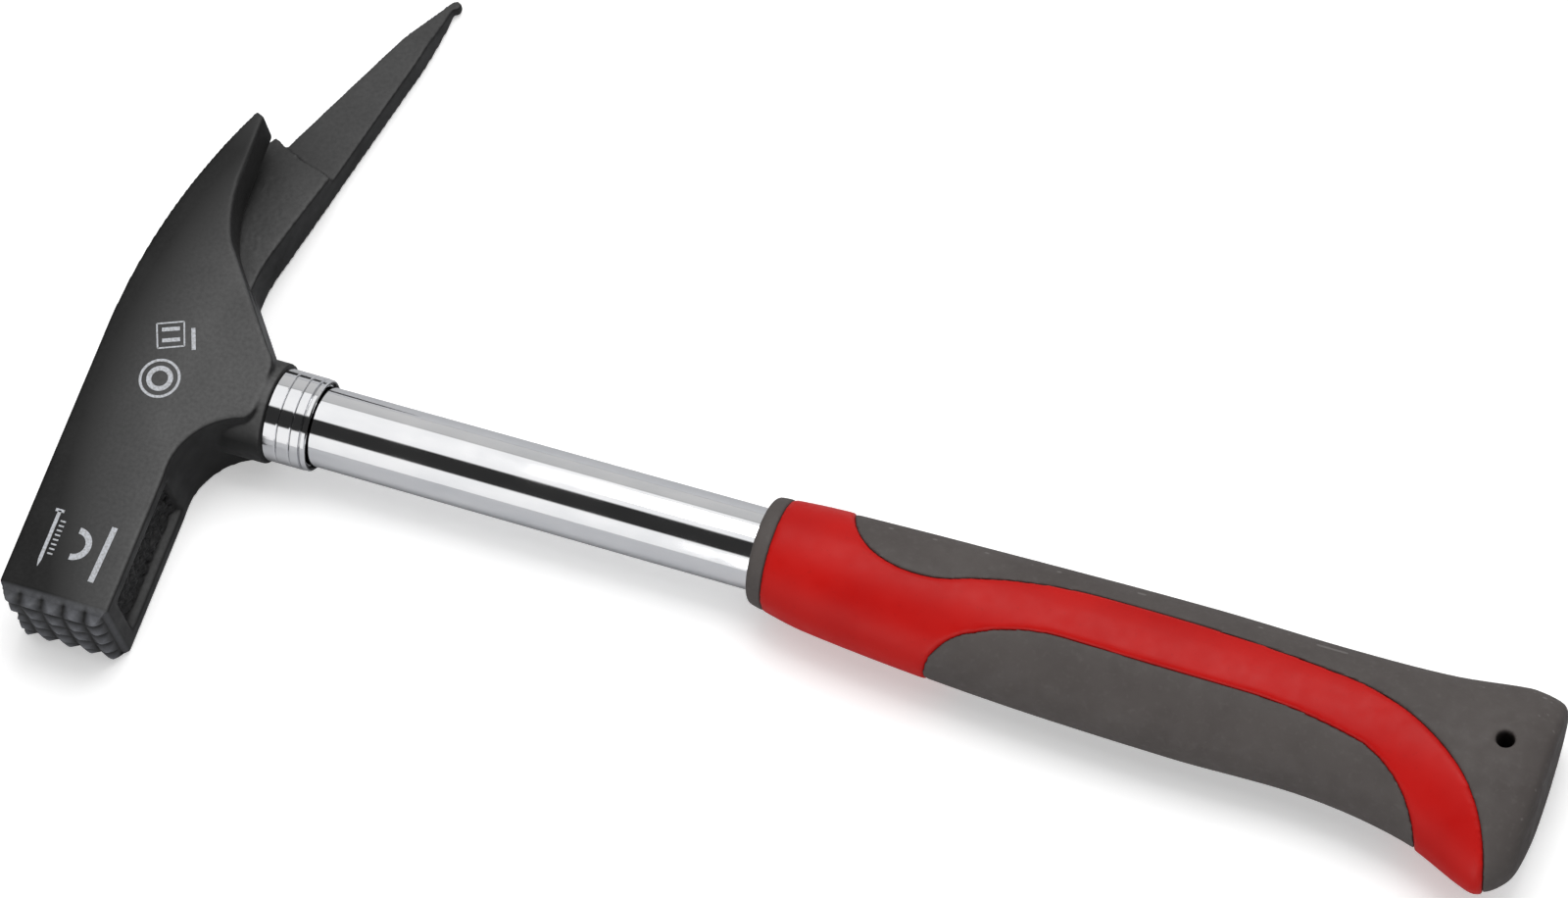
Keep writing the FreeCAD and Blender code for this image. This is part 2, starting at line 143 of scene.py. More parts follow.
def outline_face(bm, corners, spacing=1.0):
    """One flat face at z = 0, drawn from corners, with arcs in short steps."""
    last = bm.verts.new((*corners[0][:2], 0))
    for corner, following in zip(corners, corners[1:] + corners[:1]):
        if len(corner) == 3:
            a, b, c = Vector(corner[:2]), Vector(corner[2]), Vector(following[:2])
            centre = circle_centre(a, b, c)
            angle = sweep_angle(centre, a, b, c)
            steps = max(2, round(abs(angle) * (a - centre).length / spacing))
            arc = bmesh.ops.spin(
                bm, geom=[last], cent=(*centre, 0), axis=(0, 0, 1),
                angle=angle, steps=steps,
            )
            last = arc["geom_last"][0]
        else:
            corner_vert = bm.verts.new((*following[:2], 0))
            bm.edges.new((last, corner_vert))
            last = corner_vert
    bmesh.ops.remove_doubles(bm, verts=bm.verts, dist=0.001)
    return bmesh.ops.contextual_create(bm, geom=bm.edges)["faces"]


def prism(corners, low, high, plane="XY", spacing=1.0):
    """A block with this outline between two heights across its plane."""
    bm = bmesh.new()
    faces = outline_face(bm, corners, spacing)
    top = bmesh.ops.extrude_face_region(bm, geom=faces, use_keep_orig=True)["geom"]
    top_verts = [item for item in top if isinstance(item, bmesh.types.BMVert)]
    bmesh.ops.translate(bm, vec=(0, 0, high - low), verts=top_verts)
    bmesh.ops.translate(bm, vec=(0, 0, low), verts=bm.verts)
    if plane == "YZ":
        lay_over = Matrix(((0, 0, 1), (1, 0, 0), (0, 1, 0)))
        bmesh.ops.transform(bm, matrix=lay_over.to_4x4(), verts=bm.verts)
    return bm


def rod(radius, low, high, axis="X", at=(0, 0, 0), segments=96):
    """A closed cylinder along an axis, between two distances from `at`."""
    bm = bmesh.new()
    bmesh.ops.create_cone(
        bm, cap_ends=True, segments=segments, radius1=radius, radius2=radius,
        depth=high - low,
    )
    bmesh.ops.translate(bm, vec=(0, 0, (low + high) / 2), verts=bm.verts)
    if axis == "X":
        turn = Matrix.Rotation(math.radians(90), 4, "Y")
        bmesh.ops.transform(bm, matrix=turn, verts=bm.verts)
    bmesh.ops.translate(bm, vec=at, verts=bm.verts)
    return bm


# %% [markdown]
# The head is forged as one lump, so it is built the way a pattern maker would:
# blocks are joined, and then cutters take material away. The Boolean modifier does
# both. Every cutter is a small object that is thrown away once it has been used.

# %% Joining and cutting
def combine(piece, tool_bm, operation):
    """Joins a bmesh in millimetres to the piece, or cuts it away."""
    tool = make_piece(tool_bm, piece.name + "_tool")
    change = piece.modifiers.new(operation.lower(), "BOOLEAN")
    change.operation = operation
    change.solver = "EXACT"
    change.object = tool
    settle(piece)
    bpy.data.objects.remove(tool)


def soften(piece, voxel, rounds):
    """Rounds every edge a little, as forging or moulding does."""
    remesh = piece.modifiers.new("remesh", "REMESH")
    remesh.mode = "VOXEL"
    remesh.voxel_size = voxel * MM
    smooth = piece.modifiers.new("smooth", "SMOOTH")
    smooth.factor = 0.5
    smooth.iterations = rounds
    settle(piece)


# %% [markdown]
# ## The head's body
#
# Seen from the side, the head is a square block that flows through a waist into a
# short socket for the handle, and on the other side into a curved claw. The claw
# is split through its thickness: the upper prong ends early in a chisel edge, and
# the lower one goes on as the spike, which steps down to half its thickness. The
# socket's neck is round, so that it meets the ferrule all the way about.

# %% The forged blank
FACE_EDGE_Y = -57.7
FACE_RISE = 4.2
HANDLE_FACE_X = OUTER_X + 25.2
STEP_Y = 59.5
SPIKE_TOP_Z = -5.2
BOSS_END_X = 24.6

side_outline = [
    (OUTER_X, FACE_EDGE_Y - FACE_RISE - 1),
    (HANDLE_FACE_X, FACE_EDGE_Y - FACE_RISE - 1),
    (HANDLE_FACE_X, -25, (11.4, -14.6)),
    (21.2, -7.1, (22.5, -5.4)),
    (22.7, -3),
    (22.7, 5.2, (22.2, 7.4)),
    (20.4, 9.6),
    (3.4, 31.2, (0.2, 40)),
    (-0.5, 48),
    (-0.9, 61.6),
    (-2.9, 62.4, (-10.6, 41.8)),
    (OUTER_X, 2),
]
spike_outline = [
    (-14, 10),
    (14, 14.6, (8.8, 20.4)),
    (7.4, 27.5, (7.8, 32)),
    (9, 37.6),
    (20.2, 86, (22.4, 97)),
    (23.4, 107, (23.4, 109.6)),
    (22.2, 108.4, (9.2, 81)),
    (0.3, 62),
    (-4, 60, (-9.6, 43)),
]
lower_claw_outline = [
    (-14, 10),
    (14, 14.6, (8.8, 20.4)),
    (7.4, 27.5, (7.8, 32)),
    (9, 37.6),
    (13.7, STEP_Y - 1.8),
    (5.6, STEP_Y + 0.6),
    (-2, STEP_Y + 4.2),
    (-3.1, STEP_Y + 2.4, (-10.3, 42)),
]
head = make_piece(prism(side_outline, -HALF_THICK, HALF_THICK), "hammer_head_forged")
combine(head, prism(spike_outline, -HALF_THICK, SPIKE_TOP_Z), "UNION")
combine(head, prism(lower_claw_outline, -HALF_THICK, 0), "UNION")
combine(head, rod(11.2, -2, BOSS_END_X), "UNION")
print("blank: %d faces" % len(head.data.polygons))

# %% [markdown]
# The cutters come next: the V slot between the prongs, the eye with its wider seat
# for the ferrule, the recessed panel on the handle side of the block, and the
# groove with its magnet hole on the far side, which holds a nail for the first
# blow. The panel's cutter is a grid whose deeper face is scaled down, so that its
# walls slope as a forging die needs.

# %% Slot, eye, panel and nail groove
PANEL_LOW, PANEL_HIGH = -54, -24.2
PANEL_SIDE = HALF_THICK - 3.6
PANEL_DEPTH = 2
GROOVE_FLOOR_X = OUTER_X + 2.6
MAGNET_Y = FACE_EDGE_Y + 13

slot_outline = [
    (82, 1.6), (62, 1.6), (21, 0.6, (20.4, 0)),
    (21, -0.6, (44, -1.1)), (62, -3.4), (82, -3.4),
]
groove_outline = [
    (FACE_EDGE_Y - 9, -2.2), (FACE_EDGE_Y + 28, -2.2, (FACE_EDGE_Y + 30.2, 0)),
    (FACE_EDGE_Y + 28, 2.2), (FACE_EDGE_Y - 9, 2.2),
]


def panel_cutter():
    """A block with sloping sides, from just outside the face to the panel's floor."""
    outside = 0.5
    depth = PANEL_DEPTH + outside
    slope = math.tan(math.radians(30))
    length = PANEL_HIGH - PANEL_LOW - 2 * PANEL_DEPTH * slope
    width = 2 * PANEL_SIDE - 2 * PANEL_DEPTH * slope
    bm = bmesh.new()
    bmesh.ops.create_cube(bm, size=1)
    outer_verts = [vert for vert in bm.verts if vert.co.x > 0]
    bmesh.ops.scale(bm, vec=(depth, length, width), verts=bm.verts)
    wider = (1, 1 + 2 * depth * slope / length, 1 + 2 * depth * slope / width)
    bmesh.ops.scale(bm, vec=wider, verts=outer_verts)
    middle_x = HANDLE_FACE_X + outside - depth / 2
    middle = (middle_x, (PANEL_LOW + PANEL_HIGH) / 2, 0)
    bmesh.ops.translate(bm, vec=middle, verts=bm.verts)
    return bm


combine(head, prism(slot_outline, -60, 60, "YZ"), "DIFFERENCE")
combine(head, rod(8.9, -40, 40), "DIFFERENCE")
combine(head, panel_cutter(), "DIFFERENCE")
combine(head, prism(groove_outline, OUTER_X - 5, GROOVE_FLOOR_X, "YZ"), "DIFFERENCE")
magnet_hole = rod(3.8, OUTER_X, GROOVE_FLOOR_X + 7, at=(0, MAGNET_Y, 0))
combine(head, magnet_hole, "DIFFERENCE")

# %% [markdown]
# ## The striking face
#
# The face is rounded like a pillow. Two arched cuts, one each way, make that shape:
# each arch is a corner arc, a shallow crown and another corner arc. The teeth come
# later, once the surface is dense enough to be pressed like a die presses it.

# %% Pillow
FACE_CROWN = 0.4
BLOCK_X = (OUTER_X + HANDLE_FACE_X) / 2
LOWEST_Y = FACE_EDGE_Y - FACE_RISE


def pillow_arch(middle, half_width):
    """The outline that is cut away below the pillow, with the face along -Y."""
    corner = FACE_RISE - FACE_CROWN
    inner = half_width - corner
    crown_y = LOWEST_Y + FACE_CROWN
    bulge = inner + corner * math.cos(math.radians(45))
    bulge_y = FACE_EDGE_Y - corner * math.sin(math.radians(45))
    return [
        (middle - half_width, FACE_EDGE_Y, (middle - bulge, bulge_y)),
        (middle - inner, crown_y, (middle, LOWEST_Y)),
        (middle + inner, crown_y, (middle + bulge, bulge_y)),
        (middle + half_width, FACE_EDGE_Y), (middle + half_width + 5, FACE_EDGE_Y),
        (middle + half_width + 5, LOWEST_Y - 8), (middle - half_width - 5, LOWEST_Y - 8),
        (middle - half_width - 5, FACE_EDGE_Y),
    ]


def swap_axes(corner):
    """The same corner with its two coordinates swapped, and its arc point's too."""
    if len(corner) == 2:
        return (corner[1], corner[0])
    return (corner[1], corner[0], (corner[2][1], corner[2][0]))


across_arch = pillow_arch(BLOCK_X, (HANDLE_FACE_X - OUTER_X) / 2)
along_arch = [swap_axes(corner) for corner in pillow_arch(0, HALF_THICK)]
combine(head, prism(across_arch, -50, 50, spacing=0.4), "DIFFERENCE")
combine(head, prism(along_arch, -50, 50, "YZ", spacing=0.4), "DIFFERENCE")
print("cut: %d faces" % len(head.data.polygons))

# %% [markdown]
# The spike thins to a blunt tip, so one wedge is cut from above it. The blank is
# then softened: a voxel remesh gives even small faces everywhere, and a few rounds
# of smoothing turn every sharp edge into the small radius that a forging has.

# %% Spike taper and softened edges
TIP_Z = 2.4 - HALF_THICK
taper_outline = [
    (96, SPIKE_TOP_Z), (110, TIP_Z), (120, TIP_Z), (120, 5), (96, 5),
]
combine(head, prism(taper_outline, -60, 60, "YZ"), "DIFFERENCE")
soften(head, 0.46, 4)


# %% [markdown]
# The face carries a waffle of low pyramids that grip the nail's head. Grooves run
# both ways, 5 mm apart, and each is a V that presses the surface in along its own
# normal, so that the teeth wrap round the pillow's corners and fade at its rim. How
# far each vertex was pressed is kept as an attribute for the paint to read.

# %% Teeth
TOOTH_PITCH, TOOTH_DEPTH = 5, 1.25
GROOVE_LINES = [step * TOOTH_PITCH for step in (-2.5, -1.5, -0.5, 0.5, 1.5, 2.5)]
TEETH_START_Y = FACE_EDGE_Y + 0.3
TEETH_FADE = 1.6  # the height from where they start to their full depth


def groove_depth(place):
    """How deep the nearest V groove is at this spot on the face."""
    depths = []
    for across in (place.x - BLOCK_X, place.z):
        from_groove = min(abs(across - line) for line in GROOVE_LINES)
        depths.append(TOOTH_DEPTH * (1 - 2 * from_groove / TOOTH_PITCH))
    return max(*depths, 0)


def press_teeth(piece):
    """Moves the face's vertices in along their normals by the grooves' depth."""
    bm = bmesh.new()
    bm.from_mesh(piece.data)
    pressed = bm.verts.layers.float.new("pressed")
    lift = Vector((0, 0, HALF_THICK))
    for vert in bm.verts:
        place = vert.co / MM - lift
        below_rim = TEETH_START_Y - place.y
        if below_rim > 0 and vert.normal.y < 0:
            fade = min(below_rim / TEETH_FADE, 1)
            depth = groove_depth(place) * fade
            vert[pressed] = depth / TOOTH_DEPTH
            vert.co -= vert.normal * depth * MM
    bm.to_mesh(piece.data)
    bm.free()


press_teeth(head)


# %% [markdown]
# Forging scale and the casting skin of the panel are rough, but a shader's bump
# can't change an outline. These small moves of real vertices do, as a sculptor's
# brush would. Each brush is a test for where it works, and a depth in millimetres.

# %% Rough skin in the panel and under the step
def rough_skin(piece, inside, depth, grain):
    """Moves the vertices that pass a test along their normals by smooth noise."""
    bm = bmesh.new()
    bm.from_mesh(piece.data)
    lift = Vector((0, 0, HALF_THICK))
    moved = 0
    for vert in bm.verts:
        place = vert.co / MM - lift
        if inside(place, vert.normal):
            change = noise.fractal(place / grain, 0.8, 2.0, 3)
            vert.co += vert.normal * change * depth * MM
            moved += 1
    bm.to_mesh(piece.data)
    bm.free()
    print("%s: %d vertices roughened" % (piece.name, moved))


def on_panel_floor(place, normal):
    across = abs(place.z) < PANEL_SIDE - 1.5
    along = PANEL_LOW + 1 < place.y < PANEL_HIGH - 1
    return across and along and place.x > HANDLE_FACE_X - 3 and normal.x > 0.7


def on_lower_claw(place, normal):
    return 22 < place.y < STEP_Y + 5 and -4.5 < place.z < -0.3 and normal.z > 0.8


def on_step_wall(place, normal):
    near_step = STEP_Y - 5 < place.y < STEP_Y + 6
    return near_step and SPIKE_TOP_Z - 0.5 < place.z < -2 and normal.y > 0.5


rough_skin(head, on_panel_floor, 0.9, 1.7)
rough_skin(head, on_lower_claw, 0.09, 0.9)
rough_skin(head, on_step_wall, 0.2, 1.6)


# %% [markdown]
# ## Finishes
#
# Every finish starts from one Principled shader. The small class below adds the
# nodes that all of them need: noise of a real size in millimetres on Object
# coordinates, a colour ramp, a mix of two colours, a bump, and a mask for edges.
# The mask reads Pointiness, which is bright where a surface is convex, so wear
# falls on the edges that hands and nails touch first. Set low, the same mask finds
# hollows, where shade is painted in.

# %% A kit for finishes
def grey(value):
    return (value, value, value, 1)


class Finish:
    """A material, its Principled shader and the nodes that feed it."""

    def __init__(self, name, roughness, metallic=0.0):
        self.material = bpy.data.materials.new(name)
        self.material.use_nodes = True
        self.tree = self.material.node_tree
        self.shader = self.tree.nodes["Principled BSDF"]
        self.shader.inputs["Roughness"].default_value = roughness
        self.shader.inputs["Metallic"].default_value = metallic
        self.place = self.add("TexCoord").outputs["Object"]

    def add(self, kind):
        return self.tree.nodes.new("ShaderNode" + kind)

    def join(self, output, socket):
        self.tree.links.new(output, socket)

    def noise(self, size, detail=3, stretch=(1, 1, 1)):
        """Noise whose blotches are about `size` millimetres across."""
        spread = self.add("Mapping")
        spread.inputs["Scale"].default_value = [factor / (size * MM) for factor in stretch]
        self.join(self.place, spread.inputs["Vector"])
        pattern = self.add("TexNoise")
        pattern.inputs["Scale"].default_value = 1
        pattern.inputs["Detail"].default_value = detail
        self.join(spread.outputs["Vector"], pattern.inputs["Vector"])
        return pattern.outputs["Fac"]

    def edges(self, start, end):
        """A mask that is 1 on convex edges and 0 on flat and hollow places."""
        shape = self.add("NewGeometry").outputs["Pointiness"]
        return self.ramp(shape, [(start, grey(0)), (end, grey(1))])

    def ramp(self, factor, stops):
        ramp = self.add("ValToRGB")
        ramp.color_ramp.elements[0].position = stops[0][0]
        ramp.color_ramp.elements[0].color = stops[0][1]
        ramp.color_ramp.elements[1].position = stops[-1][0]
        ramp.color_ramp.elements[1].color = stops[-1][1]
        for position, colour in stops[1:-1]:
            ramp.color_ramp.elements.new(position).color = colour
        self.join(factor, ramp.inputs["Fac"])
        return ramp.outputs["Color"]

    def distance(self, place, point):
        """How far a place is from a point that is given in millimetres."""
        reach = self.add("VectorMath")
        reach.operation = "DISTANCE"
        self.join(place, reach.inputs[0])
        reach.inputs[1].default_value = Vector(point) * MM
        return reach.outputs["Value"]

    def span(self, value, start, end):
        """0 where the value is at `start`, 1 where it is at `end`, and even between."""
        span = self.add("MapRange")
        span.inputs["From Min"].default_value = start
        span.inputs["From Max"].default_value = end
        self.join(value, span.inputs["Value"])
        return span.outputs["Result"]

    def mix(self, factor, first, second):
        """The first colour where the factor is 0, the second where it is 1."""
        mix = self.add("MixRGB")
        self.feed(factor, mix.inputs["Fac"])
        self.feed(first, mix.inputs["Color1"])
        self.feed(second, mix.inputs["Color2"])
        return mix.outputs["Color"]

    def feed(self, value, socket):
        """Sets a socket from a plain colour or number, or links a node to it."""
        if isinstance(value, bpy.types.NodeSocket):
            self.join(value, socket)
        else:
            socket.default_value = value

    def bump(self, *layers):
        """Stacks bumps. A layer is (height, strength, distance in millimetres)."""
        below = None
        for height, strength, distance in layers:
            bump = self.add("Bump")
            bump.inputs["Strength"].default_value = strength
            bump.inputs["Distance"].default_value = distance * MM
            self.join(height, bump.inputs["Height"])
            if below:
                self.join(below, bump.inputs["Normal"])
            below = bump.outputs["Normal"]
        self.join(below, self.shader.inputs["Normal"])

    def colour(self, value):
        self.feed(value, self.shader.inputs["Base Color"])

    def roughness(self, value):
        self.feed(value, self.shader.inputs["Roughness"])


# %% [markdown]
# The head is stoved in satin black. Paint on forged steel is never even: it is
# slightly orange-peeled. Light is painted into it too: the black is deepest along
# the outer curve and greyer towards the handle, and the narrow sides are painted
# darker as shade. The striking face has lost some of its paint, and here and there
# an edge shows steel. The slow change is the distance from the centre of the outer
# curve, the sides are told apart by the surface's direction, and the face and the
# spike by their place along Y. On the face the pressed attribute paints shade into
# the grooves and leaves the teeth bright, partly as worn paint and partly as a
# painted highlight. Painted shade darkens hollows and inner corners. Noise of two
# sizes varies the grey and a third varies the gloss.

# %% Satin black for the head
CURVE_CENTRE = (150, -5, HALF_THICK)
SHADED_RADIUS, LIT_RADIUS = 0.168, 0.146  # metres from that centre


def satin_black():
    paint = Finish("satin_black", 0.42)
    paint.shader.inputs["Specular IOR Level"].default_value = 0.12
    # Painted light: the black is darkest far out on the outer curve and greyer towards the
    # handle.
    from_centre = paint.distance(paint.place, CURVE_CENTRE)
    rubbing_and_painted_light = paint.span(from_centre, SHADED_RADIUS, LIT_RADIUS)
    painted_light_gradient = paint.ramp(rubbing_and_painted_light, [
        (0.0, grey(0.006)), (0.2, grey(0.012)), (0.55, grey(0.055)), (1.0, grey(0.092)),
    ])
    facing = paint.add("SeparateXYZ")
    paint.join(paint.add("TexCoord").outputs["Normal"], facing.inputs["Vector"])
    level = paint.add("Math")
    level.operation = "ABSOLUTE"
    paint.join(facing.outputs["Z"], level.inputs[0])
    where = paint.add("SeparateXYZ")
    paint.join(paint.place, where.inputs["Vector"])
    at_spike = paint.span(where.outputs["Y"], (STEP_Y - 8) * MM, (STEP_Y + 12) * MM)
    clawed = paint.mix(at_spike, painted_light_gradient, grey(0.066))
    # Painted shade: the narrow sides, found by the surface's direction, are darker than the
    # cheeks.
    sides_shaded = paint.mix(paint.span(level.outputs[0], 0.4, 0.9), grey(0.014), clawed)
    at_face = paint.span(
        where.outputs["Y"], (FACE_EDGE_Y + 0.5) * MM, (FACE_EDGE_Y - 1) * MM
    )
    # Painted shade in the grooves of the teeth; the tops are lighter, partly worn paint and
    # partly a painted highlight.
    pressed = paint.add("Attribute")
    pressed.attribute_name = "pressed"
    teeth_and_groove_shade = paint.ramp(pressed.outputs["Fac"], [
        (0.1, (0.16, 0.165, 0.18, 1)), (0.5, (0.09, 0.092, 0.10, 1)), (0.95, grey(0.012)),
    ])
    faced = paint.mix(at_face, sides_shaded, teeth_and_groove_shade)
    broad = paint.ramp(paint.noise(14, 3), [(0.35, grey(0)), (0.7, grey(0.25))])
    fine = paint.ramp(paint.noise(0.9, 4), [(0.35, grey(0)), (0.7, grey(0.3))])
    clouded = paint.mix(broad, faced, grey(0.03))
    flecked = paint.mix(fine, clouded, grey(0.024))
    wear = paint.edges(0.54, 0.66)
    patchy = paint.ramp(paint.noise(3, 5), [(0.5, grey(0)), (0.72, grey(0.6))])
    worn = paint.mix(patchy, grey(0), wear)
    # Painted shade: hollows and inner corners turn nearly black.
    hollow = paint.edges(0.42, 0.485)
    shaded = paint.mix(hollow, grey(0.003), flecked)
    paint.colour(paint.mix(worn, shaded, (0.12, 0.12, 0.122, 1)))
    paint.roughness(paint.ramp(paint.noise(5, 4), [(0.3, grey(0.34)), (0.7, grey(0.5))]))
    paint.bump((paint.noise(7, 2), 0.25, 0.25), (paint.noise(0.45, 3), 0.35, 0.03))
    return paint.material


head.data.materials.clear()
head.data.materials.append(satin_black())
mount_piece(head, "head_steel", "hammer_head")


# %% [markdown]
# Pale paint is stamped on the upper cheek: a framed panel, a ring, and a nail with
# short strokes that says where the magnet is. The real marks are names and signs,
# so these stay plain shapes. Each is a prism a tenth of a millimetre thick that sits
# half sunk in the black paint.

# %% Stamped marks
CHEEK_Z = HALF_THICK
PAINT_LOW, PAINT_HIGH = CHEEK_Z - 0.06, CHEEK_Z + 0.05


def stroke(start, stop, width, taper=1.0):
    """The four corners of a straight stroke, which may narrow towards its end."""
    start, stop = Vector(start), Vector(stop)
    aside = (stop - start).orthogonal().normalized() * width / 2
    ends = [start + aside, start - aside, stop - aside * taper, stop + aside * taper]
    return [tuple(end) for end in ends]


def frame_strokes(corners, width):
    """Strokes along a closed run of corners."""
    pairs = zip(corners, corners[1:] + corners[:1])
    return [stroke(start, stop, width) for start, stop in pairs]


def half_ring(centre, radius, width, turn):
    """A half ring as one outline of two arcs, opened towards `turn` degrees."""
    centre = Vector(centre)
    outer, inner = radius + width / 2, radius - width / 2
    ahead = Vector((math.cos(math.radians(turn)), math.sin(math.radians(turn))))
    aside = Vector((-ahead.y, ahead.x))
    return [
        (*(centre + aside * outer), centre - ahead * outer),
        tuple(centre - aside * outer),
        (*(centre - aside * inner), centre - ahead * inner),
        tuple(centre + aside * inner),
    ]


def stamp(name, outlines, paint):
    """One thin piece of paint from a list of outlines on the upper cheek."""
    bm = bmesh.new()
    for outline in outlines:
        part = prism(outline, PAINT_LOW, PAINT_HIGH, spacing=0.3)
        mesh = bpy.data.meshes.new("part")
        part.to_mesh(mesh)
        part.free()
        bm.from_mesh(mesh)
        bpy.data.meshes.remove(mesh)
    piece = make_piece(bm, name, paint)
    mount_piece(piece, "head_steel")


def mark_paint():
    paint = Finish("mark_paint", 0.55)
    thin = paint.ramp(paint.noise(0.5, 4), [(0.3, grey(0.30)), (0.6, (0.50, 0.52, 0.56, 1))])
    paint.colour(thin)
    paint.roughness(paint.ramp(paint.noise(1, 3), [(0.3, grey(0.5)), (0.7, grey(0.65))]))
    paint.bump((paint.noise(0.3, 2), 0.2, 0.02))
    return paint.material


pale_paint = mark_paint()
framed = frame_strokes([(-5.2, 8.1), (0.4, 10.3), (2.6, 4.9), (-2.9, 2.7)], 0.35)
framed += [stroke((-3.6, 7.1), (0.1, 8.5), 0.9), stroke((-2.6, 4.7), (1.1, 6.1), 0.9)]
framed += [stroke((2.9, 9.4), (4.9, 4.6), 0.9)]
stamp("mark_panel", framed, pale_paint)

RING_AT = (0.2, -3.8)
ring = [half_ring(RING_AT, 4.3, 0.6, turn) for turn in (20, 200)]
ring += [half_ring(RING_AT, 2.4, 1.1, turn) for turn in (20, 200)]
stamp("mark_ring", ring, pale_paint)

NAIL_X, NAIL_TOP, NAIL_TIP = -9.1, -38.8, -52.1
nail = [
    stroke((NAIL_X, NAIL_TOP), (NAIL_X, NAIL_TIP + 1.6), 0.8),
    stroke((NAIL_X, NAIL_TIP + 1.6), (NAIL_X, NAIL_TIP), 0.8, taper=0.15),
    stroke((NAIL_X - 1, NAIL_TOP), (NAIL_X + 1, NAIL_TOP), 0.7),
]
for number in range(8):
    level = NAIL_TOP - 2.2 - number * 1.1
    nail.append(stroke((NAIL_X + 1, level), (NAIL_X + 2.2, level), 0.35))
nail.append(half_ring((-3.2, -45), 3.1, 1.4, 180))
stamp("mark_nail", nail, pale_paint)
stamp("mark_bar", [stroke((3.9, -39.1), (3.4, -52.3), 1.3)], pale_paint)


# %% [markdown]
# ## Turned parts
#
# The ferrule, the tube, the magnet and the plugs were all made on a lathe, and spin
# is Blender's lathe. A profile is a ring of points, each a distance along the axis
# and a radius. A full spin with merged ends closes it without a seam. Shading is
# smooth except across corners sharper than 30 degrees.

# %% A lathe
def lathe(name, profile, closed=True, at=(0, 0, 0), segments=144):
    """Spins a profile of (distance, radius) points about a line along X."""
    bm = bmesh.new()
    verts = [bm.verts.new((x, radius, 0)) for x, radius in profile]
    pairs = list(zip(verts, verts[1:]))
    if closed:
        pairs.append((verts[-1], verts[0]))
    edges = [bm.edges.new(pair) for pair in pairs]
    bmesh.ops.spin(
        bm, geom=verts + edges, cent=(0, 0, 0), axis=(1, 0, 0),
        angle=2 * math.pi, steps=segments, use_merge=True,
    )
    bmesh.ops.remove_doubles(bm, verts=bm.verts, dist=0.001)
    bmesh.ops.translate(bm, vec=at, verts=bm.verts)
    piece = make_piece(bm, name)
    piece.data.polygons.foreach_set("use_smooth", [True] * len(piece.data.polygons))
    piece.data.set_sharp_from_angle(angle=math.radians(30))
    return piece


# %% [markdown]
# The ferrule is a bright collar between the head and the tube: three bands parted
# by two fine V grooves, then a deeper groove and a narrow lip. The lip is hollowed
# where it meets the tube, which leaves the thin dark ring that a collar shows.

# %% Ferrule
TUBE_R = 8.85
BAND_R = 10.3
FERRULE_END_X = 34.6


def ferrule_profile():
    start = BOSS_END_X
    lip = FERRULE_END_X - 1.15
    points = [(start, TUBE_R + 0.02), (start, BAND_R - 0.3), (start + 0.3, BAND_R)]
    for groove in (start + 3.2, start + 6.3):
        points += [(groove - 0.3, BAND_R), (groove - 0.13, BAND_R - 0.1)]
        points += [(groove, BAND_R - 0.42)]
        points += [(groove + 0.13, BAND_R - 0.1), (groove + 0.3, BAND_R)]
    points += [(lip - 0.45, BAND_R), (lip - 0.3, BAND_R - 0.55)]
    points += [(lip, BAND_R - 0.55), (lip + 0.15, BAND_R - 0.1)]
    points += [(FERRULE_END_X - 0.3, BAND_R - 0.1)]
    points += [(FERRULE_END_X, BAND_R - 0.4), (FERRULE_END_X, TUBE_R + 0.75)]
    points += [(FERRULE_END_X - 0.7, TUBE_R + 0.3), (FERRULE_END_X - 0.8, TUBE_R + 0.02)]
    return points


ferrule = lathe("chrome_ferrule", ferrule_profile(), segments=240)

# %% [markdown]
# The handle is a drawn steel tube, a hair thicker under the grip than at the neck.
# Its end shows in the eye, where a plug has been driven in to spread it. The plug
# is modelled with the countersink and the ring that the driving tool leaves.

# %% Tube, plug, magnet and sleeve
TUBE_START_X = OUTER_X + 0.4
TUBE_END_X = 286
BORE_R = 7.4
GRIP_START_X = 135.9

tube = lathe("steel_tube", [
    (TUBE_START_X, BORE_R + 0.2), (TUBE_START_X + 0.2, BORE_R),
    (TUBE_END_X, BORE_R), (TUBE_END_X, TUBE_R + 0.15),
    (GRIP_START_X, TUBE_R + 0.15), (FERRULE_END_X, TUBE_R),
    (TUBE_START_X + 0.4, TUBE_R), (TUBE_START_X, TUBE_R - 0.4),
], segments=192)

plug = lathe("spread_plug", [
    (TUBE_START_X + 1.6, 0), (TUBE_START_X + 0.3, 1.9), (TUBE_START_X + 0.3, 4.2),
    (TUBE_START_X + 0.7, 4.5), (TUBE_START_X + 0.7, 5.1), (TUBE_START_X + 0.3, 5.4),
    (TUBE_START_X + 0.3, 6.9), (TUBE_START_X + 0.8, 7.35),
    (TUBE_START_X + 14, 7.35), (TUBE_START_X + 14, 0),
], closed=False)

MAGNET_AT = (GROOVE_FLOOR_X, MAGNET_Y, 0)
magnet = lathe("nail_holding_magnet", [
    (0.25, 0), (0.25, 2.5), (0.6, 2.9), (6.9, 2.9), (6.9, 0),
], closed=False, at=MAGNET_AT, segments=64)
sleeve = lathe("magnet_bush", [
    (0.15, 2.98), (0.15, 3.6), (0.3, 3.75), (6.9, 3.75), (6.9, 2.98),
], at=MAGNET_AT, segments=64)
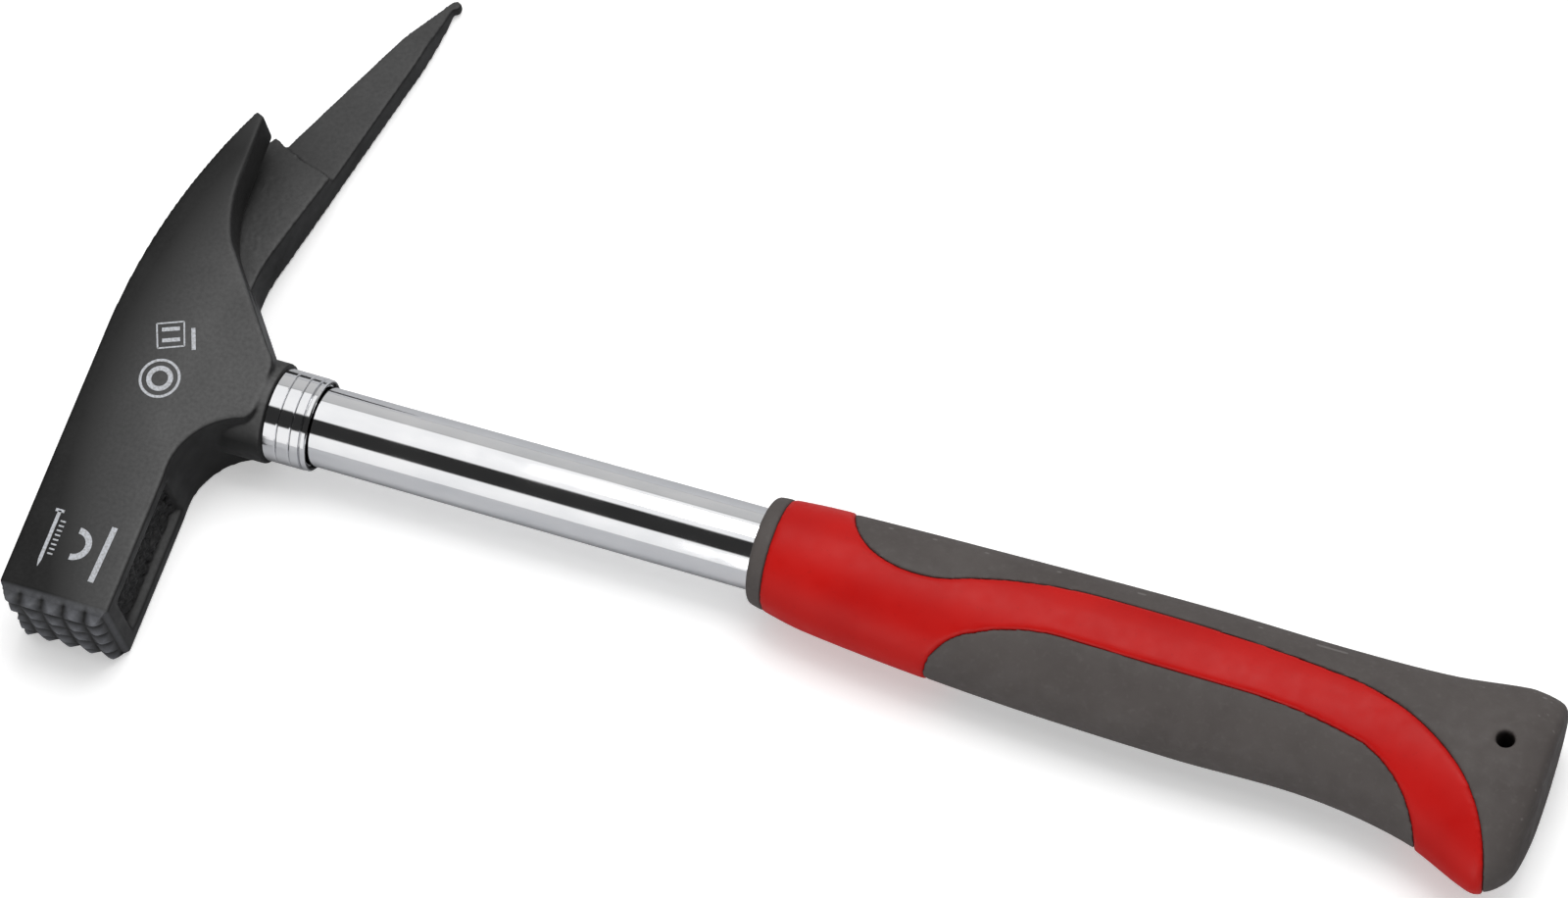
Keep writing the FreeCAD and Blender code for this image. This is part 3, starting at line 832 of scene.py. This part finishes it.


# %% [markdown]
# Chrome plate is a mirror with almost no colour of its own, so what it needs is
# small faults: faint lengthwise polishing lines, a slow ripple that bends the
# reflections, and a haze of finer scratches in the gloss. The stretched noise is
# long along X, as the polishing belt ran. A dark ring of painted shade lies where
# the tube leaves the collar, and the grooves and hollows are painted dark as shade.
# The ring's mask is a distance too, measured in the profile of the lathe: along the
# axis and out from it.

# %% Metals
def collar_shade(plate):
    """A mask for the painted shade: the dark ring where the tube leaves the collar."""
    off_axis = plate.add("VectorMath")
    off_axis.operation = "MULTIPLY_ADD"
    plate.join(plate.place, off_axis.inputs[0])
    off_axis.inputs[1].default_value = (0, 1, 1)
    off_axis.inputs[2].default_value = (0, 0, -HALF_THICK * MM)
    radius = plate.add("VectorMath")
    radius.operation = "LENGTH"
    plate.join(off_axis.outputs["Vector"], radius.inputs[0])
    along = plate.add("SeparateXYZ")
    plate.join(plate.place, along.inputs["Vector"])
    profile = plate.add("CombineXYZ")
    plate.join(along.outputs["X"], profile.inputs["X"])
    plate.join(radius.outputs["Value"], profile.inputs["Y"])
    corner = (FERRULE_END_X - 0.15, TUBE_R + 0.45, 0)
    reach = plate.distance(profile.outputs["Vector"], corner)
    return plate.span(reach, 0.7 * MM, 0.55 * MM)


def chrome(name, ripple):
    plate = Finish(name, 0.06, metallic=1.0)
    lines = plate.noise(0.35, 3, stretch=(0.02, 1, 1))
    haze = plate.noise(6, 4, stretch=(0.4, 1, 1))
    tint = plate.ramp(haze, [(0.3, (0.80, 0.81, 0.83, 1)), (0.7, (0.90, 0.90, 0.91, 1))])
    # Painted shade: the grooves and hollows of the plate are darkened.
    hollow = plate.edges(0.40, 0.47)
    bright = plate.mix(hollow, (0.03, 0.03, 0.032, 1), tint)
    # Painted shade: a dark ring where the tube leaves the collar.
    plate.colour(plate.mix(collar_shade(plate), bright, (0.015, 0.015, 0.016, 1)))
    plate.roughness(plate.ramp(haze, [(0.3, grey(0.035)), (0.75, grey(0.12))]))
    plate.bump((plate.noise(22, 1, stretch=(0.25, 1, 1)), ripple, 0.3), (lines, 0.06, 0.01))
    return plate.material


def machined(name, light, dark, stain):
    """Bare metal off a lathe: turning marks, dull patches and darker hollows."""
    metal = Finish(name, 0.4, metallic=1.0)
    blotches = metal.ramp(metal.noise(stain, 4), [(0.35, dark), (0.7, light)])
    wear = metal.edges(0.52, 0.6)
    metal.colour(metal.mix(wear, blotches, light))
    metal.roughness(metal.ramp(metal.noise(1.2, 4), [(0.3, grey(0.28)), (0.7, grey(0.52))]))
    metal.bump((metal.noise(0.3, 3, stretch=(1, 0.3, 0.3)), 0.3, 0.03))
    return metal.material


turned_pieces = [
    (ferrule, "chrome_trim", "ferrule", chrome("chrome_collar", 0.25)),
    (tube, "chrome_tube", "shaft_tube", chrome("chrome_drawn", 0.18)),
    (plug, "plug_steel", "expansion_plug",
     machined("plug_steel", grey(0.42), grey(0.16), 3)),
    (magnet, "magnet", "nail_magnet",
     machined("magnet_grey", grey(0.36), grey(0.12), 1.5)),
    (sleeve, "sleeve_brass", "magnet_sleeve",
     machined("bush_brass", (0.62, 0.44, 0.18, 1), (0.30, 0.19, 0.07, 1), 2)),
]
for piece, slot_name, node, finish in turned_pieces:
    piece.data.materials.append(finish)
    mount_piece(piece, slot_name, node)


# %% [markdown]
# ## The grip's body
#
# The grip is an oval that swells into a pommel. It is lofted: an oval ring is laid
# at each station along the handle, and each ring is bridged to the one before. The
# ovals are given at seven places: the front edge, just behind it, the fingers, the
# palm, a slight waist, the start of the flare and the pommel. The butt follows a
# quarter ellipse, and a cubic curve gives the sizes in between. Both ends are
# rounded by drawing their last rings in on a quarter circle.

# %% Oval sections
GRIP_PLACES = [
    # distance from the eye, top edge, bottom edge, half thickness
    (135.9, 12, -11.5, 11.3),
    (150, 13, -14.5, 12),
    (190, 14, -18, 12.2),
    (232, 14.5, -19.5, 12.2),
    (262, 14, -19.5, 12.2),
    (284, 14.5, -23, 12.2),
    (300, 16.5, -29.5, 12.2),
]
BUTT_LENGTH = 9.2
BUTT_DRAWN_IN = (3, 12, 3)  # at the top edge, at the bottom edge and at each side
BUTT_SHARES = (0.35, 0.65, 0.87, 1)  # of the butt's length, where its ovals are laid


def grip_sections():
    """The places, then the butt, whose ovals are drawn in on a quarter ellipse."""
    x, top, bottom, half_depth = GRIP_PLACES[-1]
    sections = list(GRIP_PLACES)
    for t in BUTT_SHARES:
        share = 1 - math.sqrt(1 - t ** 2)
        top_in, bottom_in, side_in = [size * share for size in BUTT_DRAWN_IN]
        oval = (top - top_in, bottom + bottom_in, half_depth - side_in)
        sections.append((x + BUTT_LENGTH * t, *oval))
    return sections


GRIP_SECTIONS = grip_sections()
GRIP_END_X = GRIP_SECTIONS[-1][0]


def section_slope(index, column):
    """The slope of one size at a section, from its neighbours."""
    before = GRIP_SECTIONS[max(index - 1, 0)]
    after = GRIP_SECTIONS[min(index + 1, len(GRIP_SECTIONS) - 1)]
    return (after[column] - before[column]) / (after[0] - before[0])


def oval_at(x):
    """Top, bottom and half thickness of the oval at any distance along the grip."""
    index = 0
    while index < len(GRIP_SECTIONS) - 2 and x > GRIP_SECTIONS[index + 1][0]:
        index += 1
    left, right = GRIP_SECTIONS[index], GRIP_SECTIONS[index + 1]
    length = right[0] - left[0]
    t = (x - left[0]) / length
    sizes = []
    for column in (1, 2, 3):
        start = left[column] * (1 + 2 * t) * (1 - t) ** 2
        stop = right[column] * t ** 2 * (3 - 2 * t)
        leave = section_slope(index, column) * length * t * (1 - t) ** 2
        arrive = section_slope(index + 1, column) * length * t ** 2 * (t - 1)
        sizes.append(start + stop + leave + arrive)
    return sizes


# %% Lofting the grip
GRIP_SEGMENTS = 128
FINE_RINGS_X = 298
FLARE_X, FLARE_LENGTH = 285, 15
FRONT_ROUND, BUTT_ROUND = 1.3, 0.8


def quarter_round(distance, radius):
    """How far a rounded end is drawn in at this distance from its tip."""
    gap = max(radius - distance, 0)
    return radius - math.sqrt(radius ** 2 - gap ** 2)


def grip_stations(start_x, end_x):
    """Distances of the rings: close together at both ends, 2 mm apart between."""
    places = [start_x + step * 0.3 for step in range(6)]
    while places[-1] < FINE_RINGS_X:
        places.append(places[-1] + 2)
    while places[-1] < end_x - 0.9:
        places.append(places[-1] + 0.5)
    return places + [end_x - 0.4, end_x]


def grip_body(inset=0.0, start_x=GRIP_START_X):
    """The grip's oval body, drawn in on every side by `inset`."""
    bm = bmesh.new()
    end_x = GRIP_END_X - inset
    previous = None
    for x in grip_stations(start_x, end_x):
        fade = min(max((x - FLARE_X) / FLARE_LENGTH, 0), 1)
        top, bottom, depth = oval_at(x + inset * fade)
        drawn = inset + quarter_round(x - start_x, FRONT_ROUND)
        drawn += quarter_round(end_x - x, BUTT_ROUND)
        ring = bmesh.ops.create_circle(bm, radius=1, segments=GRIP_SEGMENTS)["verts"]
        stretch = Matrix.Diagonal((depth - drawn, (top - bottom) / 2 - drawn, 1, 1))
        upright = Matrix.Rotation(math.radians(-90), 4, "Y")
        place = Matrix.Translation((x, (top + bottom) / 2, 0))
        bmesh.ops.transform(bm, matrix=place @ upright @ stretch, verts=ring)
        edges = list({edge for vert in ring for edge in vert.link_edges})
        if previous is None:
            bmesh.ops.contextual_create(bm, geom=edges)
        else:
            bmesh.ops.bridge_loops(bm, edges=previous + edges)
        previous = edges
    bmesh.ops.contextual_create(bm, geom=previous)
    return bm


print("grip at 200 mm:", [round(size, 2) for size in oval_at(200)])


# %% [markdown]
# ## Red core and grey pads
#
# The grip is moulded in two shots. Hard red plastic goes over the tube and shows as
# an S-shaped band, and soft grey plastic fills the shallow beds that are left for
# the hand: along the back and round the pommel, in the palm, and as a ring at the
# front. Each bed is an outline pushed through the whole grip, less an inner body
# that stays red. What the outline cuts from the core is what it keeps for the pad,
# so the two fit with no gap. The back and palm pads sit a quarter of a millimetre
# lower than the red.

# %% Beds for the pads
PAD_THICK = 1.7
RING_END_X = 139.8
FLANGE = 2
HANG_HOLE = (299, 0.4, 0)

back_outline = [
    (152.8, 25), (152.8, 15, (155.4, 7.6)),
    (163, 1.6, (171, 0.1)), (182, 2.2, (196, 5.6)),
    (214, 7, (240, 6.4)), (264, 4.3, (280, -0.4)),
    (290.5, -7.2, (299, -18)), (303.2, -36), (325, -36), (325, 25),
]
palm_outline = [
    (177, -40), (177, -18, (180, -13.2)),
    (187, -8.6, (197, -5.4)), (208, -4.7),
    (246, -5.2, (263, -6.9)), (271.5, -8.8, (283, -17.2)), (288, -40),
]
ring_outline = [(120, -30), (RING_END_X, -30), (RING_END_X, 30), (120, 30)]


def pad_bed(name, outline):
    """The block that a pad fills, as an object to cut or keep with."""
    bed = make_piece(prism(outline, -30, 30), name)
    combine(bed, grip_body(PAD_THICK, GRIP_START_X + FLANGE), "DIFFERENCE")
    return bed


def trim(piece, bed, operation):
    """Cuts a bed from the piece, or keeps only what is inside the bed."""
    change = piece.modifiers.new("bed", "BOOLEAN")
    change.operation = operation
    change.solver = "EXACT"
    change.object = bed
    settle(piece)


def bore(piece):
    """Takes out the room for the tube and its end plug, and the hanging hole."""
    combine(piece, rod(TUBE_R + 0.2, 100, TUBE_END_X + FLANGE, segments=128), "DIFFERENCE")
    combine(piece, rod(2, -40, 40, axis="Z", at=HANG_HOLE, segments=48), "DIFFERENCE")


beds = {
    "back": pad_bed("back_bed", back_outline),
    "palm": pad_bed("palm_bed", palm_outline),
    "ring": pad_bed("ring_bed", ring_outline),
}

# %% [markdown]
# The soft plastic also lines the hanging hole, so a post is added to the back bed
# before the core and the pads are cut with it.

# %% Core, pads and ring
combine(beds["back"], rod(3, -40, 40, axis="Z", at=HANG_HOLE, segments=48), "UNION")
core = make_piece(grip_body(), "red_core")
for bed in beds.values():
    trim(core, bed, "DIFFERENCE")
bore(core)
soften(core, 0.6, 4)

pads = {}
for key, depth_below in (("back", 0.25), ("palm", 0.25), ("ring", 0)):
    pad = make_piece(grip_body(depth_below), "grey_%s_pad" % key)
    trim(pad, beds[key], "INTERSECT")
    bore(pad)
    soften(pad, 0.44, 6)
    pads[key] = pad
for bed in beds.values():
    bpy.data.objects.remove(bed)


# %% [markdown]
# The red is a hard, satin plastic: slightly cloudy in colour, with the faint grain
# of the mould and paler along the edges that hands polish. The grey is a softer
# plastic, matt and slightly warm, with a finer, deeper grain and dusty edges.

# %% Plastics
def satin_red():
    red = Finish("satin_red", 0.4)
    red.shader.inputs["Specular IOR Level"].default_value = 0.12
    cloud = red.ramp(red.noise(18, 3), [
        (0.3, (0.43, 0.006, 0.005, 1)), (0.7, (0.50, 0.009, 0.007, 1)),
    ])
    specks = red.ramp(red.noise(0.8, 4), [(0.62, grey(0)), (0.8, grey(0.35))])
    speckled = red.mix(specks, cloud, (0.28, 0.005, 0.005, 1))
    rubbing_and_painted_light = red.edges(0.56, 0.66)
    red.colour(red.mix(rubbing_and_painted_light, speckled, (0.58, 0.03, 0.024, 1)))
    red.roughness(red.ramp(red.noise(4, 4), [(0.3, grey(0.36)), (0.7, grey(0.5))]))
    red.bump((red.noise(9, 2), 0.15, 0.2), (red.noise(0.35, 2), 0.25, 0.02))
    return red.material


def soft_grey():
    soft = Finish("soft_grey", 0.7)
    soft.shader.inputs["Specular IOR Level"].default_value = 0.3
    cloud = soft.ramp(soft.noise(16, 3), [
        (0.3, (0.066, 0.057, 0.054, 1)), (0.7, (0.083, 0.073, 0.069, 1)),
    ])
    dust = soft.ramp(soft.noise(1.4, 5), [(0.55, grey(0)), (0.8, grey(0.4))])
    dusty = soft.mix(dust, cloud, (0.105, 0.095, 0.09, 1))
    scuffed = soft.edges(0.6, 0.7)
    soft.colour(soft.mix(scuffed, dusty, (0.13, 0.12, 0.115, 1)))
    soft.roughness(soft.ramp(soft.noise(3, 4), [(0.3, grey(0.6)), (0.7, grey(0.8))]))
    soft.bump((soft.noise(0.5, 3), 0.4, 0.05))
    return soft.material


core.data.materials.append(satin_red())
mount_piece(core, "grip_red", "grip_core")
grey_plastic = soft_grey()
for key, node in (
    ("back", "grip_back_pad"), ("palm", "grip_palm_pad"), ("ring", "grip_front_ring"),
):
    pads[key].data.materials.append(grey_plastic)
    mount_piece(pads[key], "grip_grey", node)


# %% [markdown]
# ## Inside the tube
#
# Two parts stay as the frame has them, because nothing but a saw would show them: a
# beech dowel that backs up the head end of the tube, and a plastic plug at its far
# end. They still get real finishes. Beech has long grain with short darker flecks.

# %% Dowel and end plug
def beech():
    wood = Finish("beech", 0.6)
    grain = wood.noise(1.2, 5, stretch=(0.06, 1, 1))
    flecks = wood.ramp(wood.noise(0.5, 2, stretch=(0.3, 1, 1)), [
        (0.6, grey(0)), (0.72, grey(0.6)),
    ])
    board = wood.ramp(grain, [(0.3, (0.46, 0.29, 0.15, 1)), (0.7, (0.62, 0.43, 0.25, 1))])
    wood.colour(wood.mix(flecks, board, (0.34, 0.19, 0.09, 1)))
    wood.roughness(wood.ramp(grain, [(0.3, grey(0.5)), (0.7, grey(0.7))]))
    wood.bump((grain, 0.4, 0.08))
    return wood.material


def plain_moulding():
    moulding = Finish("black_moulding", 0.5)
    cloud = moulding.noise(6, 4)
    moulding.colour(moulding.ramp(cloud, [(0.3, grey(0.035)), (0.7, grey(0.065))]))
    moulding.roughness(moulding.ramp(cloud, [(0.3, grey(0.4)), (0.7, grey(0.6))]))
    moulding.bump((moulding.noise(0.4, 2), 0.2, 0.03))
    return moulding.material


for node, finish in (("tube_dowel", beech()), ("tube_end_plug", plain_moulding())):
    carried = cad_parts[node]
    carried.data.materials.clear()
    carried.data.materials.append(finish)
    print("%s: %s" % (node, finish.name))


# %% [markdown]
# ## Camera, floor and light
#
# A long lens from above and a little towards the face shows the hammer nearly as a
# drawing does, with little perspective. The camera looks along one direction, and
# the second vector only says which way is up in the picture.

# %% Camera
LENS = 135
camera_place = Vector((418.247, -410.414, 1144.218 + HALF_THICK)) * MM
view = Vector((-0.227290, 0.345267, -0.910566)).normalized()
up_hint = Vector((-0.260567, 0.879383, 0.398465))
right = view.cross(up_hint).normalized()
up = right.cross(view)
turn = Matrix((right, up, -view)).transposed().to_4x4()
camera_data = bpy.data.cameras.new("camera")
camera_data.lens = LENS
camera_data.sensor_width = 36
camera_data.clip_start = 0.05
camera = bpy.data.objects.new("camera", camera_data)
camera.matrix_world = Matrix.Translation(camera_place) @ turn
bpy.context.scene.collection.objects.link(camera)
bpy.context.scene.camera = camera

# %% [markdown]
# A mirror shows the room, so chrome is lit by what stands round it. The room here
# is a white tent with one dark gap beside the camera and a greyer half behind the
# hammer: the tube then shows the dark stripe between two white ones that makes it
# read as chrome. The world works out the angle about the handle and looks it up in
# a ramp. The tent is open at both ends, so it darkens along X, which draws a dark
# line down every rounded edge that faces that way. Two soft boxes add light, one
# from above and one from the striking face's side. The floor is plain and pale.

# %% Studio tent
def tent_light():
    """A world whose brightness depends on the angle about the handle."""
    world = bpy.data.worlds.new("tent")
    world.use_nodes = True
    tree = world.node_tree
    direction = tree.nodes.new("ShaderNodeTexCoord").outputs["Generated"]
    split = tree.nodes.new("ShaderNodeSeparateXYZ")
    tree.links.new(direction, split.inputs["Vector"])
    angle = tree.nodes.new("ShaderNodeMath")
    angle.operation = "ARCTAN2"
    tree.links.new(split.outputs["Y"], angle.inputs[0])
    tree.links.new(split.outputs["Z"], angle.inputs[1])
    share = tree.nodes.new("ShaderNodeMapRange")
    share.inputs["From Min"].default_value = -math.pi
    share.inputs["From Max"].default_value = math.pi
    tree.links.new(angle.outputs[0], share.inputs["Value"])
    ramp = tree.nodes.new("ShaderNodeValToRGB")
    stops = [
        # degrees from straight up, positive towards the spike, and brightness
        (-94, 0.35), (-91, 0.95), (-51, 1.0), (-48, 0.03), (-8, 0.03), (-5, 1.0),
        (51, 1.0), (53, 0.3), (55, 0.55), (90, 0.6), (120, 0.6),
    ]
    elements = ramp.color_ramp.elements
    elements.remove(elements[1])
    elements[0].position = (stops[0][0] + 180) / 360
    elements[0].color = grey(stops[0][1])
    for degrees, brightness in stops[1:]:
        elements.new((degrees + 180) / 360).color = grey(brightness)
    tree.links.new(share.outputs["Result"], ramp.inputs["Fac"])
    ends = tree.nodes.new("ShaderNodeMath")
    ends.operation = "ABSOLUTE"
    tree.links.new(split.outputs["X"], ends.inputs[0])
    opening = tree.nodes.new("ShaderNodeMapRange")
    opening.inputs["From Min"].default_value = 0.75
    opening.inputs["From Max"].default_value = 0.92
    tree.links.new(ends.outputs[0], opening.inputs["Value"])
    darkened = tree.nodes.new("ShaderNodeMixRGB")
    darkened.inputs["Color2"].default_value = grey(0.03)
    tree.links.new(opening.outputs["Result"], darkened.inputs["Fac"])
    tree.links.new(ramp.outputs["Color"], darkened.inputs["Color1"])
    tree.links.new(darkened.outputs["Color"], tree.nodes["Background"].inputs["Color"])
    tree.nodes["Background"].inputs["Strength"].default_value = 1.0
    return world


bpy.context.scene.world = tent_light()
bpy.context.scene.view_settings.view_transform = "Standard"


def soft_box(name, degrees, power, size):
    """A square lamp one metre from the hammer, at an angle about the handle."""
    lamp = bpy.data.lights.new(name, "AREA")
    lamp.shape = "SQUARE"
    lamp.size = size
    lamp.energy = power
    box = bpy.data.objects.new(name, lamp)
    turn_about_handle = Matrix.Rotation(math.radians(-degrees), 4, "X")
    out = Matrix.Translation((0.15, 0, 0)) @ turn_about_handle
    box.matrix_world = out @ Matrix.Translation((0, 0, 1.0))
    box.visible_camera = False
    bpy.context.scene.collection.objects.link(box)


soft_box("top_box", 24, 5.0, 0.6)
soft_box("front_box", -70, 2.5, 0.5)


# %% [markdown]
# The floor is white to look at, and a light cool grey in what it gives back to the
# hammer. Light Path tells the two apart, so the chrome keeps a clear lower edge
# against a white ground. A little glow, again only for the eye, keeps the shadow
# faint.

# %% Floor
def pale_floor():
    floor_paint = Finish("pale_floor", 0.9)
    floor_paint.shader.inputs["Specular IOR Level"].default_value = 0.1
    seen = floor_paint.add("LightPath").outputs["Is Camera Ray"]
    floor_paint.colour(floor_paint.mix(seen, (0.51, 0.515, 0.53, 1), grey(0.95)))
    floor_paint.shader.inputs["Emission Strength"].default_value = 1
    floor_paint.feed(
        floor_paint.mix(seen, grey(0), grey(0.3)), floor_paint.shader.inputs["Emission Color"]
    )
    return floor_paint.material


bm = bmesh.new()
bmesh.ops.create_grid(bm, x_segments=1, y_segments=1, size=3)
bmesh.ops.translate(bm, vec=(0, 0, cad_box[0][2]), verts=bm.verts)
mesh = bpy.data.meshes.new("floor")
bm.to_mesh(mesh)
bm.free()
mesh.materials.append(pale_floor())
floor = bpy.data.objects.new("floor", mesh)
bpy.context.scene.collection.objects.link(floor)
